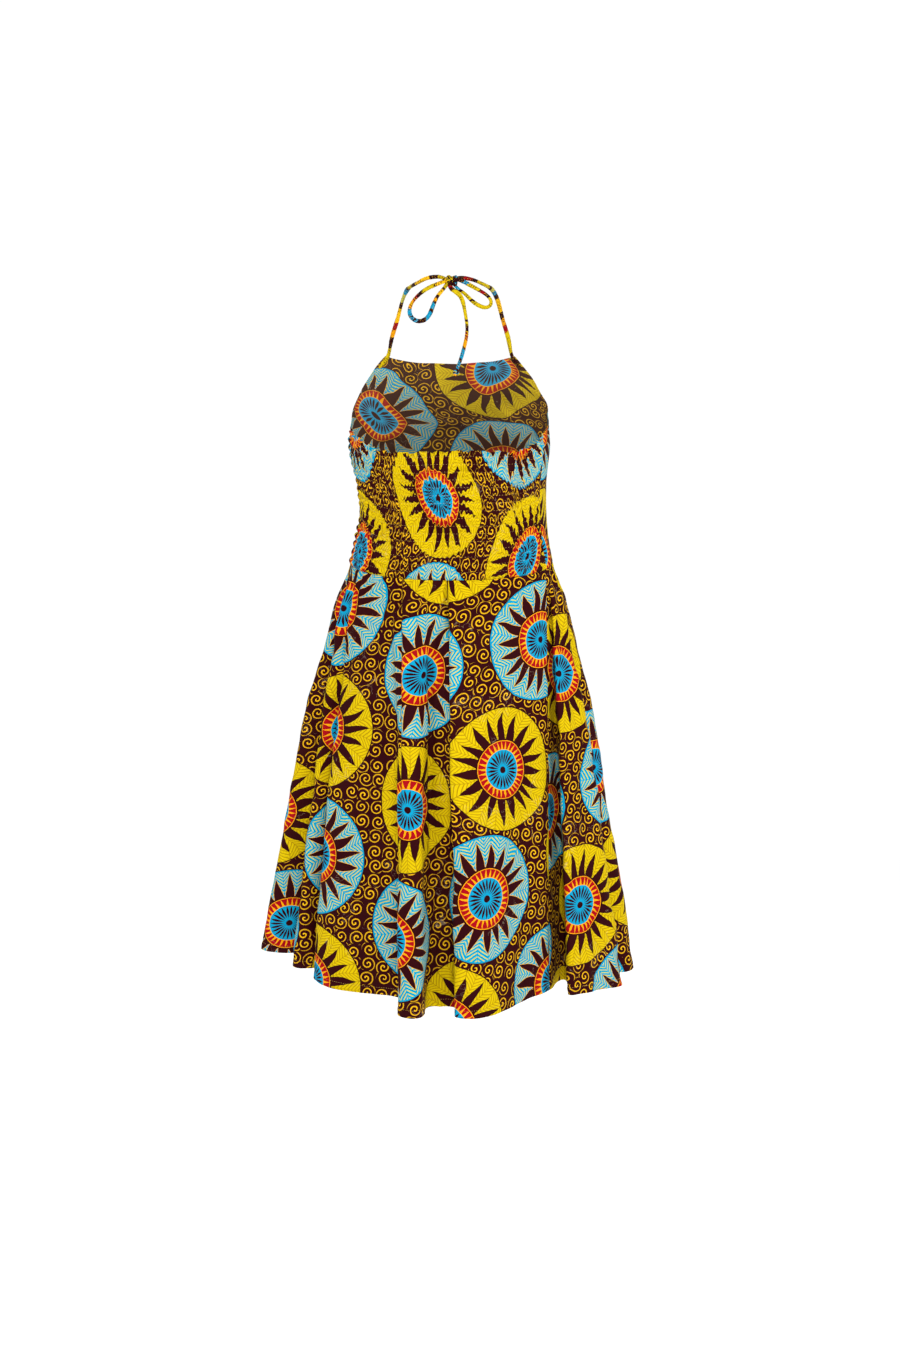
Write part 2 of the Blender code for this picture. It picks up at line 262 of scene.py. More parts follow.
def newMaterial(name, finish):
    material = bpy.data.materials.new(name)
    material.use_nodes = True
    tree = material.node_tree
    shader = tree.nodes["Principled BSDF"]
    for label, value in finish.items():
        feed(shader.inputs[label], value)
    return material, tree, shader


def addBump(tree, shader, height, distance, strength=None):
    bump = tree.nodes.new("ShaderNodeBump")
    for label, value in (("Strength", strength), ("Distance", distance), ("Height", height)):
        feed(bump.inputs[label], value)
    feed(shader.inputs["Normal"], nodeValue(bump.outputs[0]))


# the cloth: a wax print with rosettes on a ground of small curls
printed = {
    "rosettePitch": (0.182, 0.180), "rosetteRadius": 0.0835, "rosetteShift": 0.004, "border": 0.955,
    "ringRadius": 0.0400, "ringStrokes": 30.0, "eyeRadius": 0.0275, "eyeSeeds": 24.0,
    "spikes": 19, "spikeLength": 0.70, "spikeLengthChance": 0.22, "spikeWidth": 0.96, "rimWidth": 0.0007,
    "veinPitch": 0.0050, "yellowVeinShare": 0.30, "aquaVeinMore": 0.36,
    "curlSpacing": 0.0203, "curlWinding": 0.0059, "curlReach": 0.0113, "curlStroke": 0.150,
    "unevenness": 0.0011,                         # how far the block strays
    "ground": (0.018, 0.0009, 0.0022), "curl": (0.78, 0.43, 0.005), "curlArm": (0.50, 0.255, 0.006),
    "yellow": (0.53, 0.385, 0.001), "yellowVein": (0.31, 0.19, 0.001), "aqua": (0.48, 0.44, 0.07),
    "blue": (0.0006, 0.245, 0.42), "red": (0.27, 0.002, 0.006), "orange": (0.70, 0.28, 0.002),
    "spikeRim": (0.60, 0.30, 0.04),
    "crackleScale": 34.0, "crackleWidth": 0.008, "crackleShare": 0.16, "crackle": (0.62, 0.50, 0.36),
    "dyeScale": 22.0, "dyeShare": 0.16, "dye": (0.06, 0.024, 0.008),
    "threadPitch": 0.00055, "weaveHeight": 0.10, "slubHeight": 0.22, "crumpleHeight": 2.6,
}


def staggered(tree, x, y, pitch, seed):
    # the place inside one cell of a half-drop repeat, three chance values of the cell, and its kind
    column = floor(x / pitch[0])
    rise = y / pitch[1] + fraction(column * 0.5)
    row = floor(rise)
    localX = (fraction(x / pitch[0]) - 0.5) * pitch[0]
    localY = (fraction(rise) - 0.5) * pitch[1]
    cell = put(tree, "CombineXYZ", column, row, seed)
    chance = put(tree, "SeparateXYZ", put(tree, "TexWhiteNoise", cell, out=1, noise_dimensions="3D"))
    return localX, localY, chance.parts(), fraction((column + row) * 0.5) > 0.25


def weave(place):
    # threads over and under
    across, along = (sine(place[k] * (fullTurn / printed["threadPitch"])) for k in (0, 1))
    return across * along


def waxPrintGroup():
    tree = bpy.data.node_groups.new("wax print", "ShaderNodeTree")
    for label, way, kind in (("Place", "INPUT", "Vector"), ("Colour", "OUTPUT", "Color"),
                             ("Relief", "OUTPUT", "Float")):
        tree.interface.new_socket(label, in_out=way, socket_type="NodeSocket" + kind)
    flat = nodeValue(tree.nodes.new("NodeGroupInput").outputs[0])
    leave = tree.nodes.new("NodeGroupOutput")

    def noise(scale, detail, **settings):
        return put(tree, "TexNoise", flat, None, scale, detail, **settings)

    # the block printer's small unevenness
    place = put(tree, "SeparateXYZ", flat).parts()
    shake = noise(120.0, 1.0, out=1, noise_dimensions="3D")
    shaken = put(tree, "SeparateXYZ", shake).parts()
    x, y = (place[k] + (shaken[k] - 0.5) * printed["unevenness"] for k in (0, 1))

    # ground with its curls, each in a cell of its own
    spot = put(tree, "CombineXYZ", x, y, 0.0)
    cellSettings = (spot, None, 1 / printed["curlSpacing"], None, None, None, None, None, 0.34)
    cells = put(tree, "TexVoronoi", *cellSettings, voronoi_dimensions="2D").parts()
    toEdge = put(tree, "TexVoronoi", *cellSettings, voronoi_dimensions="2D", feature="DISTANCE_TO_EDGE")
    away = put(tree, "SeparateXYZ", put(tree, "VectorMath", spot, cells[2], operation="SUBTRACT")).parts()
    chance = put(tree, "SeparateXYZ", cells[1]).parts()
    r = squareRoot(away[0] * away[0] + away[1] * away[1])
    turn = arcTangent(away[1], away[0]) / fullTurn
    hand = (chance[0] > 0.5) * 2.0 - 1.0          # half of them wind the other way
    wound = r / printed["curlWinding"] - turn * hand + chance[1]
    thick = printed["curlStroke"] + chance[2] * 0.035 - r * 4.5
    curl = (absolute(fraction(wound) - 0.5) < thick) * (toEdge > 0.030) * (r < printed["curlReach"])
    tone = noise(70.0, 3.0)
    curlColour = blendColour(r / printed["curlReach"], printed["curl"], printed["curlArm"])
    curlColour = blendColour(tone * 0.2, curlColour, printed["ground"])
    groundColour = blendColour(tone, printed["ground"], tuple(c * 1.3 for c in printed["ground"]))

    # rosettes: the distance from the centre and the angle, both a little uneven
    rx, ry, chance, kind = staggered(tree, x, y, printed["rosettePitch"], 8.0)
    rx = rx + (chance[0] - 0.5) * printed["rosetteShift"]
    ry = ry + (chance[1] - 0.5) * printed["rosetteShift"]
    bearing = arcTangent(ry, rx) / fullTurn + chance[2]
    angle = bearing + (noise(28.0, 0.0) - 0.5) * 0.034
    radius = squareRoot(rx * rx + ry * ry) * (1.0 + sine(bearing * (2 * fullTurn)) * 0.028)
    edge, ring, eye = printed["rosetteRadius"], printed["ringRadius"], printed["eyeRadius"]

    # dark spikes from the ring outwards, each of its own length
    counted = angle * float(printed["spikes"])
    own = put(tree, "TexWhiteNoise", None, floor(counted + 0.5) + chance[0] * 40.0, noise_dimensions="1D")
    cellHalf = radius * (math.pi / printed["spikes"])
    arc = absolute(fraction(counted) - 0.5) * (cellHalf * 2.0)
    toSpike = cellHalf - arc
    out = (radius - ring) / (edge - ring)
    bounded = smaller(larger(out, 0.0), 1.0)
    length = printed["spikeLength"] + own * printed["spikeLengthChance"]
    slim = larger(1.0 - bounded / length, 0.0) ** 0.95
    spikeWidth = cellHalf * slim * printed["spikeWidth"]
    spike = larger(toSpike < spikeWidth, out < 0.05)
    rim = (toSpike < spikeWidth + printed["rimWidth"]) * (bounded < length)

    # petals between them, with chevron veins and a line down the middle
    chevron = fraction((radius - arc * 0.9) / printed["veinPitch"])
    veinShare = printed["yellowVeinShare"] + kind * printed["aquaVeinMore"]
    vein = larger(chevron < veinShare, arc < 0.0004)
    vein = larger(vein, (toSpike < 0.0005) * (bounded > 0.5))
    petalColour = blendColour(kind, printed["yellow"], printed["aqua"])
    veinColour = blendColour(kind, printed["yellowVein"], printed["blue"])
    petalColour = blendColour(vein, petalColour, veinColour)
    petalColour = blendColour((out > printed["border"]) * kind, petalColour, printed["blue"])
    petalColour = blendColour(rim * kind, petalColour, printed["spikeRim"])
    petalColour = blendColour(spike, petalColour, groundColour)

    # the ring's brush strokes, red outwards and orange inwards
    strokes = absolute(fraction(angle * printed["ringStrokes"] + shaken[0] * 0.35) - 0.5)
    ringShare = (radius - eye) / (ring - eye)
    ringColour = blendColour(strokes < (0.98 - ringShare) * 0.30, printed["red"], printed["orange"])
    ringEdge = larger(ringShare < 0.07, ringShare > 0.92)
    ringColour = blendColour(ringEdge, ringColour, printed["orange"])

    # the eye: blue, with dark seeds round a dark heart
    seedTurn = absolute(fraction(angle * printed["eyeSeeds"]) - 0.5)
    seedOut = radius / eye
    seedArch = sine(larger(seedOut - 0.24, 0.0) * 4.3)
    seeds = larger(seedTurn < seedArch * 0.34, seedOut < 0.17)
    eyeColour = blendColour(seeds, printed["blue"], printed["ground"])

    # lay the rosettes over the ground
    colour = blendColour(curl, groundColour, curlColour)
    for share, layer in ((radius < edge + 0.0016, groundColour), (out < 1.0, petalColour),
                         (radius < ring, ringColour), (radius < eye, eyeColour)):
        colour = blendColour(share, colour, layer)

    # hairline crackle of the wax, and an uneven dye
    bent = put(tree, "VectorMath", shake, (0.030, 0.030, 0.0), flat, operation="MULTIPLY_ADD")
    crackled = put(tree, "TexVoronoi", bent, None, printed["crackleScale"], feature="DISTANCE_TO_EDGE")
    crackle = (crackled < printed["crackleWidth"]) * (noise(14.0, 2.0) > 0.58)
    colour = blendColour(crackle * printed["crackleShare"], colour, printed["crackle"])
    dye = (noise(printed["dyeScale"], 4.0) - 0.35) * printed["dyeShare"]
    feed(leave.inputs[0], blendColour(dye, colour, printed["dye"]))

    # the weave, a little slub, and soft crumples
    fine = weave(place) * printed["weaveHeight"] + noise(900.0, 2.0) * printed["slubHeight"]
    feed(leave.inputs[1], fine + noise(42.0, 3.0) * printed["crumpleHeight"])
    return tree


waxPrint = waxPrintGroup()


def clothMaterial(name, shift, faded=0.0, roughness=0.74):
    # shift: where this piece was cut from the print
    finish = {"Roughness": roughness, "Specular IOR Level": 0.03, "Sheen Weight": 0.006,
              "Sheen Roughness": 0.4}
    material, tree, shader = newMaterial(name, finish)
    group = tree.nodes.new("ShaderNodeGroup")
    group.node_tree = waxPrint
    feed(group.inputs[0], put(tree, "Mapping", put(tree, "UVMap", uv_map="print"), (*shift, 0)))
    colour, relief = (nodeValue(socket) for socket in group.outputs)
    if faded:
        colour = blendColour(faded, colour, (0.22, 0.15, 0.09))
    feed(shader.inputs["Base Color"], colour)
    addBump(tree, shader, relief, 0.0006, 0.6)
    return material


def threadMaterial(name, colour):
    material, tree, shader = newMaterial(name, {"Roughness": 0.6, "Sheen Weight": 0.3})
    place = put(tree, "TexCoord", out=3)
    uneven = put(tree, "TexNoise", place, None, 700.0, 2.0)
    feed(shader.inputs["Base Color"], blendColour(uneven, colour, tuple(c * 0.6 for c in colour)))
    addBump(tree, shader, put(tree, "TexNoise", place, None, 2500.0, 1.0), 0.0001)
    return material


mustardThread = threadMaterial("mustard thread", (0.45, 0.27, 0.02))
print("print and thread materials made")

ties = {
    "width": 0.0056, "halfRound": 0.0088,         # across, and half way round the tube
    "sides": 16, "ringSpacing": 0.0011, "flattening": 0.16, "wrinkle": 0.055,
    "easing": 40,                                 # passes that round the bends
    "knotCentre": (0.0000, 0.0140, -0.0040), "knotHalfSize": (0.0120, 0.0072, 0.0078),
    "lead": 0.0040,                               # how far each runs straight out of the knot
    "taper": 0.45, "taperReach": 0.014,           # the ties grow thin where they are sewn on
    "sewnAt": {"tieLeft": 0.972, "tieRight": 0.028},
    "wrapReach": (0.0016, 0.0042, 0.0048),        # the knot's band: sideways, back and up
    "wrapTilt": 0.0012, "strandReach": 0.0090,
    "tailKnotSize": 0.0094, "tailKnotRadius": 0.0019, "tailEndRadius": 0.0021,
    # the print on the ties, whose borders run aslant round the tube, and painted shade: the share that
    # darkens all the print's colours on the ties
    "paintedShade": 0.82, "borderSlant": 0.55, "unevenness": 0.006,
    "veinPitch": 0.0029, "veinShare": 0.22, "strokePitch": 0.0031, "strokeShare": 0.36,
    # share of the width at the start and at the end of each
    "fullness": {"tieLeft": (1, 1), "tieRight": (1, 1), "loopLeft": (0.95, 0.90),
                 "loopRight": (0.86, 0.92), "tail": (1.04, 0.80)},
    "nodes": {"tieLeft": "tie_left", "tieRight": "tie_right", "loopLeft": "bow_loop_left",
              "loopRight": "bow_loop_right", "tail": "bow_tail"},
}
# each route: the way it leaves the knot, the points in mm where it turns, and the way it comes back
routes = {
    "tieLeft": ((0.95, -0.25, 0.3), [
        (31, 6, -1), (43, -4, -7.5), (52, -24, -13), (59, -53, -20), (66, -80, -36), (73, -96, -62),
        (81.2, -100.8, -88)], None),
    "tieRight": ((-0.95, -0.25, 0.2), [
        (-30, 6, -3), (-42, -4, -8.5), (-51.5, -24, -14), (-59, -53, -21), (-66.5, -80, -37),
        (-73.5, -96, -63), (-81.2, -100.8, -88)], None),
    "loopLeft": ((1, 0.45, -0.15), [
        (30, 19, -14), (43, 20.5, -23.5), (52.5, 22.5, -35), (55, 25, -47), (49, 27, -56),
        (38.5, 27, -58), (29, 26, -52), (23.5, 23.5, -39), (17.5, 21, -25)], (0.75, 0.25, -0.8)),
    "loopRight": ((-0.95, 0.35, -0.85), [
        (-20, 20, -21), (-28.5, 21, -30), (-38.5, 22.2, -37), (-48.5, 22.8, -40.5), (-55.6, 22.4, -37),
        (-55.6, 21.5, -29), (-47.5, 20.5, -21.5), (-38, 19.5, -16), (-27, 19, -10)], (-1, 0.45, 0.15)),
    "tail": ((0.02, 0.55, -1), [
        (-13, 23.5, -22), (-17.5, 24.5, -32), (-20.5, 26.5, -47), (-23, 30, -64), (-22, 32.5, -79),
        (-19, 35, -92), (-15, 37.5, -106), (-9.5, 41, -120.5)], None),
}


def smoothRoute(points, spacing, easing=0):
    points = np.array(points, float)
    padded = np.vstack((2 * points[0] - points[1], points, 2 * points[-1] - points[-2]))
    fine = []
    for a, b, c, d in zip(padded, padded[1:], padded[2:], padded[3:]):
        bend, twist = 2 * a - 5 * b + 4 * c - d, 3 * b - a - 3 * c + d
        for t in np.arange(12) / 12:
            fine.append(b + (c - a) * t / 2 + bend * t * t / 2 + twist * t**3 / 2)
    fine = np.array(fine + [points[-1]])
    along = lengthsAlong(fine, 0)
    count = max(round(along[-1] / spacing), 4)
    even = np.linspace(0, along[-1], count + 1)
    path = np.stack([np.interp(even, along, fine[:, k]) for k in range(3)], -1)
    for _ in range(easing):
        path[1:-1] = (path[:-2] + 2 * path[1:-1] + path[2:]) / 4
    return path


def offKnot(way):
    # from inside the knot to a little way off it
    way, half = np.array(way), np.array(ties["knotHalfSize"])
    touch = way / np.linalg.norm(way / half)
    away = unit(touch / half**2)
    start = np.array(ties["knotCentre"]) + touch
    return [start - touch * 0.45, start, start + away * ties["lead"]]


def tube(name, path, radius, flattening, wrinkle, seed, sides=16, closed=False, cloth=None, node=None,
         taper=1.0, fullness=(1, 1)):
    tangents = unit(np.roll(path, -1, 0) - np.roll(path, 1, 0) if closed else np.gradient(path, axis=0))
    side = unit(np.cross(tangents[0], (0.2, 0.3, 0.93)))
    along = lengthsAlong(path, 0)
    turns = np.linspace(0, fullTurn, sides, endpoint=False)
    rings = []
    for place, point, tangent in zip(along, path, tangents):
        side = unit(side - tangent * np.dot(side, tangent))      # carried along without twisting
        slim = mix(taper, 1.0, min((along[-1] - place) / ties["taperReach"], 1.0))
        slim = slim * mix(*fullness, place / along[-1])
        twist = 0.9 * math.sin(place * 55 + seed) + place * 14
        ripple = math.sin(place * 1500 + 3 * math.sin(place * 330 + seed))
        ripple = ripple + 0.6 * math.sin(place * 730 + seed)
        spread = 1 + flattening * np.cos(2 * (turns - twist))
        spread = spread + wrinkle * ripple * np.cos(turns * 2 + place * 260)
        ring = np.cos(turns)[:, None] * side + np.sin(turns)[:, None] * np.cross(tangent, side)
        rings.append(point + radius * slim * spread[:, None] * ring)
    index = np.arange(len(rings) * sides).reshape(-1, sides)
    ends = along
    if closed:
        index, ends = np.vstack((index, index[:1])), [*along, along[-1] + along[1]]
    beside = np.roll(index, -1, axis=1)
    faces = np.stack((index[:-1], beside[:-1], beside[1:], index[1:]), -1).reshape(-1, 4).tolist()
    across = np.arange(sides + 1) / sides * fullTurn * radius
    places = []
    for low, high in zip(ends, ends[1:]):
        for left, right in zip(across, across[1:]):
            places += [(low, left), (low, right), (high, right), (high, left)]
    if not closed:
        faces += [index[0][::-1].tolist(), index[-1].tolist()]
        places += [(0, 0)] * (2 * sides)
    mesh = bpy.data.meshes.new(name)
    mesh.from_pydata(np.array(rings).reshape(-1, 3), [], faces)
    layPrint(mesh, places)
    return addPiece(name, mesh, [tieMaterial(cloth or name, float(along[-1]))], node)


bodice = {
    "centreY": -0.070, "squareness": 2.2, "lift": 0.0008,
    "waistHeight": -0.400, "waistDip": 0.010, "seamTurns": (-88.0, 67.0),
    # height, half width, depth to the back, depth to the front, sway to the wearer's left
    "rings": [
        (-0.105, 0.124, 0.104, 0.040, 0.000), (-0.160, 0.133, 0.111, 0.068, 0.000),
        (-0.205, 0.137, 0.113, 0.096, 0.000), (-0.245, 0.138, 0.110, 0.117, 0.000),
        (-0.290, 0.131, 0.106, 0.127, -0.003), (-0.345, 0.131, 0.101, 0.118, -0.004),
        (-0.400, 0.142, 0.101, 0.109, -0.002)],
    # turn and height of the back's top edge
    "backTop": [(-88, -0.2120), (-62, -0.2215), (-36, -0.2345), (0, -0.2310), (40, -0.2330),
                (56, -0.2260), (67, -0.2150)],
    # height of the armhole edge, with its turn on the wearer's right and on the left
    "armholes": [
        (-0.2150, 67, 272), (-0.2020, 82, 267), (-0.1850, 96, 259), (-0.1680, 108, 250),
        (-0.1500, 118, 241), (-0.1300, 128, 232), (-0.1150, 136, 224)],
    "neckDip": 0.012, "bustHeight": -0.285, "bustTurn": 36.0, "bustFullness": 0.013, "bustRadius": 0.062,
}


def bodyPoint(turn, height):
    rings = np.array(bodice["rings"])
    turn, height = np.broadcast_arrays(np.asarray(turn, float), np.asarray(height, float))
    halfWidth, back, front, sway = (smoothCurve(rings[:, 0], rings[:, k], height) for k in range(1, 5))
    side, along = np.sin(np.radians(turn)), np.cos(np.radians(turn))
    power = 2 / bodice["squareness"]
    x = sway - halfWidth * np.sign(side) * np.abs(side) ** power
    y = bodice["centreY"] + np.where(along > 0, back, front) * np.sign(along) * np.abs(along) ** power
    for hand in (-1, 1):
        away = np.radians(turn % 360 - 180 - hand * bodice["bustTurn"]) * halfWidth
        distance = np.hypot(away, height - bodice["bustHeight"]) / bodice["bustRadius"]
        y = y - bodice["bustFullness"] * np.clip(1 - distance**2, 0, 1) ** 2
    return np.stack((x, y, height), -1)


def waistHeight(turn):
    return bodice["waistHeight"] - bodice["waistDip"] * np.maximum(np.cos(np.radians(turn)), 0)


def frontPoint(across, climb):
    # climb: 0 at the waist seam, 1 under the arms, 2 along the neckline
    armholes = np.array(bodice["armholes"])
    level = np.clip(climb - 1, 0, 1)
    height = mix(armholes[0, 0], armholes[-1, 0], level)
    right = smoothCurve(armholes[:, 0], armholes[:, 1], height)
    left = smoothCurve(armholes[:, 0], armholes[:, 2], height)
    turn = mix(right, left, across)
    low = waistHeight(turn)
    z = np.where(climb <= 1, mix(low, armholes[0, 0], np.minimum(climb, 1)), height)
    z = z - bodice["neckDip"] * level * 4 * across * (1 - across)
    return bodyPoint(turn, z)


# what shows along each tie: the hundredths of its length where a colour starts, and the colour
tieBands = {
    "tieLeft": (
        "0 yellow, 5 ground, 10 curl, 20 ground, 26 yellow, 34 ground, 38 blue, 46 aqua, "
        "55 ground, 60 curl, 70 red, 75 orange, 80 ground, 86 yellow"),
    "tieRight": (
        "0 ground, 7 red, 12 ground, 15.5 yellow, 30 ground, 35 aqua, 42 blue, 47 ground, "
        "52 curl, 64 ground, 68 orange, 73 red, 77 yellow, 90 ground"),
    "loopLeft": (
        "0 curl, 10 ground, 11.5 yellow, 24 ground, 29 red, 31.8 yellow, 32.6 red, "
        "34.5 orange, 37.5 yellow, 38.5 orange, 42 blue, 48.5 ground, 50 blue, 52.5 ground, "
        "54 blue, 56 ground, 64 blue, 71 ground, 74 blue, 79 ground, 81 orange, 83.5 ground, "
        "87 curl, 93 ground, 95 yellow"),
    "loopRight": (
        "0 ground, 8 blue, 13 ground, 16 yellow, 28 ground, 31 yellow, 60 ground, 66 red, "
        "71 ground, 73 yellow, 86 blue, 92 ground"),
    "tail": (
        "0 ground, 5 red, 8 ground, 11 yellow, 47 ground, 50 yellow, 53 ground, 60 yellow, "
        "61 red, 63 orange, 64.5 red, 66.5 yellow, 67.5 red, 69 orange, 72 yellow, "
        "73 orange, 77 ground, 79 blue, 90 ground, 93 blue"),
    "knot": (
        "0 yellow, 14 ground, 20 yellow, 38 curl, 46 ground, 58 yellow, 72 ground, "
        "80 yellow, 93 ground"),
    "knotStrand": "0 blue, 20 ground, 38 yellow, 50 ground, 70 curl, 82 ground",
    "tailKnot": (
        "0 blue, 9 ground, 14 blue, 28 ground, 33 aqua, 37 blue, 52 ground, 56 blue, "
        "72 ground, 77 aqua, 80 blue, 93 ground"),
    "tailEnd": "0 ground, 30 orange",
}


def tieMaterial(name, length):
    finish = {"Roughness": 0.7, "Specular IOR Level": 0.05, "Sheen Weight": 0.01}
    material, tree, shader = newMaterial("printed cotton, " + name, finish)
    uv = put(tree, "UVMap", uv_map="print")
    place = put(tree, "SeparateXYZ", uv).parts()

    def noise(scale, detail=1.0):
        return put(tree, "TexNoise", uv, None, scale, detail)

    uneven = noise(240.0, 2.0) - 0.5
    slant = absolute(place[1] - ties["halfRound"]) * ties["borderSlant"]
    ramp = tree.nodes.new("ShaderNodeValToRGB")
    stops = ramp.color_ramp.elements
    ramp.color_ramp.interpolation = "CONSTANT"
    for number, band in enumerate(tieBands[name].split(", ")):
        start, colour = float(band.split()[0]) / 100, printed[band.split()[1]]
        stop = stops[number] if number < 2 else stops.new(start)
        # the print's colour, darkened on the ties as painted shade
        stop.position, stop.color = start, (*(ties["paintedShade"] * c for c in colour), 1)
    feed(ramp.inputs[0], (place[0] + slant + uneven * ties["unevenness"]) / length)
    # broken dark lines of the print's veins and curls
    lines = (place[1] + uneven * 0.004) / ties["veinPitch"] + place[0] * 90.0
    vein = (fraction(lines) < ties["veinShare"]) * (noise(420.0) > 0.50)
    colour = blendColour(vein * 0.6, nodeValue(ramp.outputs[0]), printed["ground"])
    # short dark strokes across the tube, in patches, and flecks of the curls' colour
    across = (place[0] + uneven * 0.003) / ties["strokePitch"] + place[1] * 55.0
    stroke = (fraction(across) < ties["strokeShare"]) * (noise(85.0) > 0.515)
    colour = blendColour(stroke * 0.8, colour, printed["ground"])
    colour = blendColour((noise(620.0) > 0.66) * 0.5, colour, printed["curl"])
    feed(shader.inputs["Base Color"], colour)
    addBump(tree, shader, weave(place), 0.00012, 0.5)
    return material


def makeTies():
    made = {}
    for number, (name, (out, points, back)) in enumerate(routes.items()):
        sewn = name in ties["sewnAt"]
        ending = offKnot(back)[::-1] if back else []
        if sewn:
            across = np.array(ties["sewnAt"][name])
            ending = [frontPoint(across, np.array(climb)) + (0, 0, rise)
                      for climb, rise in ((2.0, 0.0014), (1.93, 0), (1.85, 0))]
        corners = [*offKnot(out), *(np.array(points) / 1000), *ending]
        path = smoothRoute(corners, ties["ringSpacing"], ties["easing"])
        piece = tube(name, path, ties["width"] / 2, ties["flattening"], ties["wrinkle"], number + 1,
                     ties["sides"], node=ties["nodes"][name], taper=ties["taper"] if sewn else 1.0,
                     fullness=ties["fullness"][name])
        made[name] = piece, path
    return made


def makeKnots(made):
    centre, width = np.array(ties["knotCentre"]), ties["width"] / 2
    around = np.linspace(0, fullTurn, 40, endpoint=False)
    aside, back, up = ties["wrapReach"]
    wrap = centre + np.stack((aside * np.sin(around) + ties["wrapTilt"] * np.cos(around),
                              back * np.cos(around), up * np.sin(around)), -1)
    knot = tube("bowKnot", wrap, width * 0.98, 0.10, 0.04, 9, closed=True, cloth="knot", node="bow_knot")
    across = np.linspace(-1, 1, 18)
    for name, sign in (("bowStrandLower", -1), ("bowStrandUpper", 1)):
        strand = centre + np.stack((across * ties["strandReach"],
                                    0.0006 + 0.0022 * np.cos(across * 2.2) * sign,
                                    sign * 0.0024 - across * sign * 0.0020), -1)
        tube(name, strand, width * 0.92, 0.1, 0.04, 5, cloth="knotStrand").parent = knot
    # a small overhand knot at the tail's end, with a stub beyond it
    path = made["tail"][1]
    turns = np.linspace(0, fullTurn, 60, endpoint=False)
    trefoil = np.stack((np.sin(turns) + 2 * np.sin(2 * turns), np.cos(turns) - 2 * np.cos(2 * turns),
                        -1.1 * np.sin(3 * turns)), -1)
    size, thick = ties["tailKnotSize"] / 2, ties["tailKnotRadius"]
    away = unit(path[-1] - path[-4])
    middle = path[-1] + away * size * 0.9
    small = tube("tailKnot", middle + trefoil * (size - thick) / 3.0, thick, 0.08, 0.03, 4, 10,
                 closed=True, node="tail_knot")
    end = smoothRoute([middle - away * 0.002, middle + away * 0.003, middle + away * 0.0052], 0.0006)
    stub = tube("tailEnd", end, ties["tailEndRadius"], 0.15, 0.05, 3, 12)
    stub.parent = small
    for name, farEnd, others in (("loopLeft", "object", []), ("loopRight", "object", []),
                                 ("tail", "knot", [small, stub])):
        piece, path = made[name]


makeKnots(makeTies())
print("ties and bow made")


stitching = {
    "length": 0.0025, "gap": 0.0009, "radius": 0.00021, "end": 0.55,
    "arch": 0.00016, "surface": 0.0002,           # how far it rises, from how far over the cloth's middle
}


def stitchRow(name, paths, pitch=None):
    # paths: pairs of points and outward normals, each a line to sew along
    length = stitching["length"]
    pitch = pitch or length + stitching["gap"]
    verts, faces = [], []
    shares = np.linspace(0, 1, 4)
    turns = np.radians((0, 90, 180, 270))
    girth = stitching["radius"] * np.array((stitching["end"], 1, 1, stitching["end"]))
    rise = stitching["surface"] + stitching["arch"] * np.sin(math.pi * shares)
    for points, normals in paths:
        along = lengthsAlong(points, 0)
        starts = np.arange(pitch * 0.5, along[-1] - length, pitch)
        if not len(starts):
            continue
        places = starts[:, None] + shares * length

        def at(values):
            return np.stack([np.interp(places, along, values[:, k]) for k in range(3)], -1)

        centre, normal = at(points), unit(at(normals))
        sideways = np.cross(unit(centre[:, -1:] - centre[:, :1]), normal)
        centre = centre + normal * rise[None, :, None]
        ring = (np.cos(turns)[None, None, :, None] * sideways[:, :, None, :]
                + np.sin(turns)[None, None, :, None] * normal[:, :, None, :])
        for stitch in centre[:, :, None, :] + ring * girth[None, :, None, None]:
            base = len(verts)
            verts.extend(stitch.reshape(-1, 3).tolist())
            for step in range(3):
                for k in range(4):
                    a, b = base + step * 4 + k, base + step * 4 + (k + 1) % 4
                    faces.append((a, b, b + 4, a + 4))
            faces.append((base + 3, base + 2, base + 1, base))
            faces.append((base + 12, base + 13, base + 14, base + 15))
    mesh = bpy.data.meshes.new(name)
    mesh.from_pydata(verts, [], faces)
    return addPiece(name, mesh, [mustardThread])


# the bodice's back, gathered on rows of elastic
shirred = {
    "columns": 470, "bands": 16, "stepsPerBand": 6, "puckers": 60, "fullness": 0.0034,
    "frillHeight": 0.007, "frillSteps": 7, "frillWaves": 41, "frillDepth": 0.0026, "frillRise": 0.0015,
    "sag": 0.0009, "sideways": 0.0006, "seamReach": 0.004, "stitchPitch": 0.0042,
    "gathered": 1.42, "lostInFolds": 0.20,        # cloth for each length, and what its folds hide
    "cutHeight": 0.198, "cutShare": 0.9,          # share of width times height that is cloth
}


def backHeight(turn, up):
    top = smoothCurve(*zip(*bodice["backTop"]), turn)
    return np.where(up <= 1, mix(waistHeight(turn), top - shirred["frillHeight"], np.minimum(up, 1)),
                    top - shirred["frillHeight"] * (2 - up))


